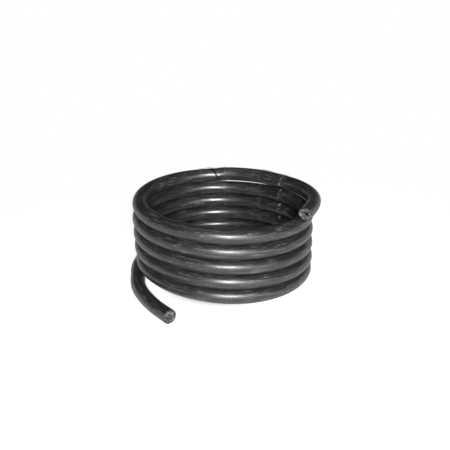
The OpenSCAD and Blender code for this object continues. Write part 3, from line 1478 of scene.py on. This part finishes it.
    def surface(self) -> tuple[np.ndarray, np.ndarray, np.ndarray, np.ndarray]:
        """Places the film's inner face as a grid, wound once around with a lap.

        Returns:
            Grids of column and row with the points, the outward normals, the
            haze with its painted glint flecks, and the marks that place the painted shade of the creases.
        """
        half = math.degrees(self.width / 2 / self.winding.coil_r)
        laps = int(self.rows * self.lap)
        start = int(self.rows * self.lap_start)
        order = (start + np.arange(self.rows + laps)) % self.rows
        rise = self.lap_lift * smooth(np.arange(len(order)) / self.rows)
        points = np.zeros((self.columns, len(order), 3))
        normals = np.zeros_like(points)
        haze = np.zeros(points.shape[:2])
        crease_shade_marks = np.zeros((*points.shape[:2], 2))
        centre = np.array(self.winding.axis)
        for i, share in enumerate(np.linspace(0, 1, self.columns)):
            direction = self.direction + half * (1 - 2 * share)
            outline, normal = self.belt(direction)
            run = length_along(outline)
            from_top = np.where(run <= run[-1] / 2, run, run - run[-1])
            across = share * self.width
            edge = min(across, self.width - across)
            height = self.ripples(np.full_like(run, across), run)
            crease_shade_mark = np.zeros((len(run), 2))
            for crease in self.creases:
                raised, crease_shade_mark = crease.lift(across, from_top, self.width)
                height = height + raised
            height += self.roll * math.exp(-((edge / self.roll_width) ** 2))
            lifted = outline + normal * height[:, None]
            turn = math.radians(direction)
            radial = np.array([math.cos(turn), math.sin(turn)])
            for j, k in enumerate(order):
                r, z = lifted[k] + normal[k] * rise[j]
                points[i, j] = [*(centre + r * radial), z]
                normals[i, j] = [*(normal[k, 0] * radial), normal[k, 1]]
            haze[i] = self.fog(run, edge, self.glint_fleck_haze[int(across >= self.width / 2)])[order]
            # these marks place the painted shade along the crease
            crease_shade_marks[i] = crease_shade_mark[order]
        ends = np.minimum(np.arange(len(order)), np.arange(len(order))[::-1])
        haze += self.lap_haze * np.exp(-((ends / self.lap_haze_rows) ** 2))[None]
        points[:, :, 2] = np.maximum(points[:, :, 2], self.floor_gap)
        return points, normals, haze, crease_shade_marks

    def build(self) -> bpy.types.Object:
        """Makes the band as a thin closed sheet.

        Returns:
            The band's object, which stands for its CAD node.
        """
        inner, normals, haze, crease_shade_marks = self.surface()
        outer = inner + normals * self.thickness
        points = np.concatenate([inner.reshape(-1, 3), outer.reshape(-1, 3)])
        band = mesh_object(
            self.node.replace("film_band", "film_wrap"),
            points,
            sheet_faces(*haze.shape),
            attributes={
                HAZE_AND_GLINT_FLECKS: np.concatenate([haze.ravel()] * 2),
                CREASE_SHADE_APART: np.concatenate([crease_shade_marks[:, :, 0].ravel()] * 2),
                CREASE_SHADE_DEPTH: np.concatenate([crease_shade_marks[:, :, 1].ravel()] * 2),
            },
        )
        band.data.shade_smooth()
        band.data.materials.append(self.film.make())
        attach(band, BODY)
        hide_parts(self.node)
        log.info("%s: %d faces", band.name, len(band.data.polygons))
        return band


# ---- Studio ----


@dataclass(frozen=True)
class Softbox:
    """A rectangular lamp that faces the coil, with its angles in degrees."""

    name: str
    azimuth: float
    elevation: float
    distance: float
    width: float
    height: float
    watts: float
    colour: str = "#ffffff"

    def light(self, target: Vector) -> bpy.types.Object:
        """Hangs the lamp. Azimuth 0 is in front, and grows to the right.

        Args:
            target: the point that the lamp faces.

        Returns:
            The lamp's object.
        """
        a, e = math.radians(self.azimuth), math.radians(self.elevation)
        away = Vector((math.sin(a) * math.cos(e), -math.cos(a) * math.cos(e), math.sin(e)))
        data = bpy.data.lights.new(self.name, "AREA")
        data.shape = "RECTANGLE"
        data.size, data.size_y = self.width, self.height
        data.energy = self.watts
        data.color = linear(self.colour)[:3]
        lamp = bpy.data.objects.new(self.name, data)
        lamp.location = target + away * self.distance
        lamp.rotation_mode = "QUATERNION"
        lamp.rotation_quaternion = (-away).to_track_quat("-Z", "Y")
        bpy.context.scene.collection.objects.link(lamp)
        return lamp


@dataclass
class Studio:
    """Camera, white paper floor and soft light.

    Near the coil the floor is paper, lifted by a glow that only seeing rays meet,
    so that it keeps the coil's shadow. Inside the coil the glow is turned down, a
    painted shade where the coil's shade lies. From paper_fade outwards it turns to
    plain white. The roll is in degrees.
    """

    target: tuple[float, float, float] = (2.1 * MM, 7 * MM, 57.2 * MM)
    eye: tuple[float, float, float] = (2.1 * MM, -615.6 * MM, 310.0 * MM)
    roll: float = -1.373
    lens: float = 48.34
    sensor: float = 36
    clip: tuple[float, float] = (0.01, 50)
    paper: str = "#e8e8e8"
    paper_lift: float = 0.58
    # painted shade: the glow that is kept inside the coil, where the coil's shade lies
    painted_shade_lift: float = 0.05
    painted_shade_edge: tuple[float, float] = (62 * MM, 84 * MM)
    paper_fade: tuple[float, float] = (170 * MM, 420 * MM)
    paper_half: float = 12.0
    ceiling: float = 0.04
    backdrop_r: float = 11
    backdrop_height: float = 1.7
    backdrop_white: float = 0.8
    backdrop_sides: int = 96
    lamps: tuple[Softbox, ...] = (
        Softbox("key_softbox", azimuth=4, elevation=22, distance=1.5, width=0.24, height=0.24, watts=24),
        Softbox("front_fill", azimuth=8, elevation=18, distance=1.6, width=1.1, height=1.3, watts=24),
        Softbox("right_fill", azimuth=44, elevation=8, distance=1.5, width=0.7, height=0.4, watts=3),
        Softbox("top_light", azimuth=0, elevation=88, distance=1.5, width=0.9, height=0.9, watts=2),
    )

    def camera(self) -> bpy.types.Object:
        """Sets the camera.

        Returns:
            The camera's object.
        """
        data = bpy.data.cameras.new("camera")
        data.lens = self.lens
        data.sensor_width = self.sensor
        data.clip_start, data.clip_end = self.clip
        cam = bpy.data.objects.new("camera", data)
        ahead = (Vector(self.target) - Vector(self.eye)).normalized()
        cam.rotation_mode = "QUATERNION"
        level = ahead.to_track_quat("-Z", "Y").to_matrix().to_4x4()
        tilt = Matrix.Rotation(math.radians(self.roll), 4, "Z")
        cam.matrix_world = Matrix.Translation(Vector(self.eye)) @ level @ tilt
        bpy.context.scene.collection.objects.link(cam)
        bpy.context.scene.camera = cam
        return cam

    def seen_rays(self, tree: bpy.types.NodeTree) -> bpy.types.NodeSocket:
        """Adds a factor for rays that see a surface, as against rays that it lights.

        Args:
            tree: the material's node tree.

        Returns:
            The socket with 1 for camera, glossy and transmission rays, and 0 for others.
        """
        rays = add_node(tree, "ShaderNodeLightPath")
        mirrored = add_node(
            tree,
            "ShaderNodeMath",
            {"operation": "MAXIMUM"},
            links={0: rays.outputs["Is Glossy Ray"], 1: rays.outputs["Is Transmission Ray"]},
        )
        seen = add_node(
            tree,
            "ShaderNodeMath",
            {"operation": "MAXIMUM"},
            links={0: rays.outputs["Is Camera Ray"], 1: mirrored.outputs[0]},
        )
        return seen.outputs[0]

    def floor(self) -> bpy.types.Object:
        """Lays the paper: it takes the hose's shadow, has painted shade inside the coil, and runs out into
        plain white.

        Returns:
            The paper's object.
        """
        made, tree = material("white_studio_paper")
        seen = self.seen_rays(tree)
        space = add_node(tree, "ShaderNodeTexCoord")
        far = add_node(
            tree, "ShaderNodeVectorMath", {"operation": "LENGTH"}, links={0: space.outputs["Object"]}
        )
        fade = add_node(
            tree,
            "ShaderNodeMapRange",
            {"interpolation_type": "SMOOTHSTEP"},
            {"From Min": self.paper_fade[0], "From Max": self.paper_fade[1], "To Min": 0, "To Max": 1},
            {"Value": far.outputs["Value"]},
        )
        # painted shade: inside the coil the glow is turned down, where the coil's shade lies on the paper
        lift = add_node(
            tree,
            "ShaderNodeMapRange",
            {"interpolation_type": "SMOOTHSTEP"},
            {
                "From Min": self.painted_shade_edge[0],
                "From Max": self.painted_shade_edge[1],
                "To Min": self.painted_shade_lift,
                "To Max": self.paper_lift,
            },
            {"Value": far.outputs["Value"]},
        )
        lifted = add_node(
            tree, "ShaderNodeMath", {"operation": "MULTIPLY"}, links={0: seen, 1: lift.outputs[0]}
        )
        paper = add_node(tree, "ShaderNodeBsdfDiffuse", values={"Color": linear(self.paper)})
        glow = add_node(
            tree,
            "ShaderNodeEmission",
            values={"Color": (1, 1, 1, 1)},
            links={"Strength": lifted.outputs[0]},
        )
        near = add_node(tree, "ShaderNodeAddShader", links={0: paper.outputs[0], 1: glow.outputs[0]})
        white = add_node(tree, "ShaderNodeEmission", values={"Color": (1, 1, 1, 1), "Strength": 1})
        share = add_node(
            tree, "ShaderNodeMath", {"operation": "MULTIPLY"}, links={0: fade.outputs[0], 1: seen}
        )
        whole = add_node(
            tree,
            "ShaderNodeMixShader",
            links={0: share.outputs[0], 1: near.outputs[0], 2: white.outputs[0]},
        )
        add_node(tree, "ShaderNodeOutputMaterial", links={"Surface": whole.outputs[0]})
        side = self.paper_half
        corners = np.array([[-side, -side, 0], [side, -side, 0], [side, side, 0], [-side, side, 0]])
        sheet = mesh_object("paper_floor", corners, [(0, 1, 2, 3)])
        sheet.data.materials.append(made)
        return sheet

    def backdrop(self) -> bpy.types.Object:
        """Hangs the white backdrop all around, which fades into the dim room above it.

        Returns:
            The backdrop's object.
        """
        made, tree = material("white_backdrop")
        seen = self.seen_rays(tree)
        space = add_node(tree, "ShaderNodeTexCoord")
        place = add_node(tree, "ShaderNodeSeparateXYZ", links={0: space.outputs["Object"]})
        low = add_node(
            tree,
            "ShaderNodeMapRange",
            {"interpolation_type": "SMOOTHSTEP"},
            {"From Min": self.backdrop_height, "From Max": self.backdrop_white * self.backdrop_height},
            {"Value": place.outputs["Z"]},
        )
        share = add_node(
            tree, "ShaderNodeMath", {"operation": "MULTIPLY"}, links={0: low.outputs[0], 1: seen}
        )
        strength = add_node(
            tree,
            "ShaderNodeMapRange",
            values={"From Min": 0, "From Max": 1, "To Min": self.ceiling, "To Max": 1},
            links={"Value": share.outputs[0]},
        )
        glow = add_node(
            tree,
            "ShaderNodeEmission",
            values={"Color": (1, 1, 1, 1)},
            links={"Strength": strength.outputs[0]},
        )
        add_node(tree, "ShaderNodeOutputMaterial", links={"Surface": glow.outputs[0]})
        turn = np.linspace(0, 2 * math.pi, self.backdrop_sides, endpoint=False)
        ring = np.stack([self.backdrop_r * np.cos(turn), self.backdrop_r * np.sin(turn), 0 * turn], axis=-1)
        count = len(turn)
        faces = [(i, (i + 1) % count, (i + 1) % count + count, i + count) for i in range(count)]
        wall = mesh_object("backdrop", np.concatenate([ring, ring + [0, 0, self.backdrop_height]]), faces)
        wall.data.materials.append(made)
        return wall

    def surroundings(self) -> None:
        """Makes the room above the backdrop: dim and grey."""
        world = bpy.data.worlds.new("studio_room")
        world.use_nodes = True
        tree = world.node_tree
        tree.nodes.clear()
        back = add_node(
            tree, "ShaderNodeBackground", values={"Color": (1, 1, 1, 1), "Strength": self.ceiling}
        )
        add_node(tree, "ShaderNodeOutputWorld", links={"Surface": back.outputs[0]})
        bpy.context.scene.world = world

    def build(self) -> None:
        """Sets the floor, the backdrop, the room and the lamps."""
        self.floor()
        self.backdrop()
        self.surroundings()
        for box in self.lamps:
            box.light(Vector(self.target))
            log.info("lamp %s: %.0f W", box.name, box.watts)


def main() -> None:
    """Builds the camera, the hose, the film bands and the studio, in that order."""
    logging.basicConfig(level=logging.INFO, format="%(name)s: %(message)s")
    bpy.context.scene.view_settings.view_transform = "Standard"
    winding = Winding()
    studio = Studio()
    studio.camera()
    Hose(winding).build()
    crease = Crease(across=(0.36, 0.74), along=(-5 * MM, 18 * MM), height=0.9 * MM, width=3 * MM)
    FilmBand(winding, node="film_band_left", direction=97, seed=3, creases=(crease,)).build()
    FilmBand(winding, node="film_band_right", direction=44.5, seed=11, glint_fleck_haze=(0.05, 0.95)).build()
    studio.build()


if __name__ == "__main__":
    main()
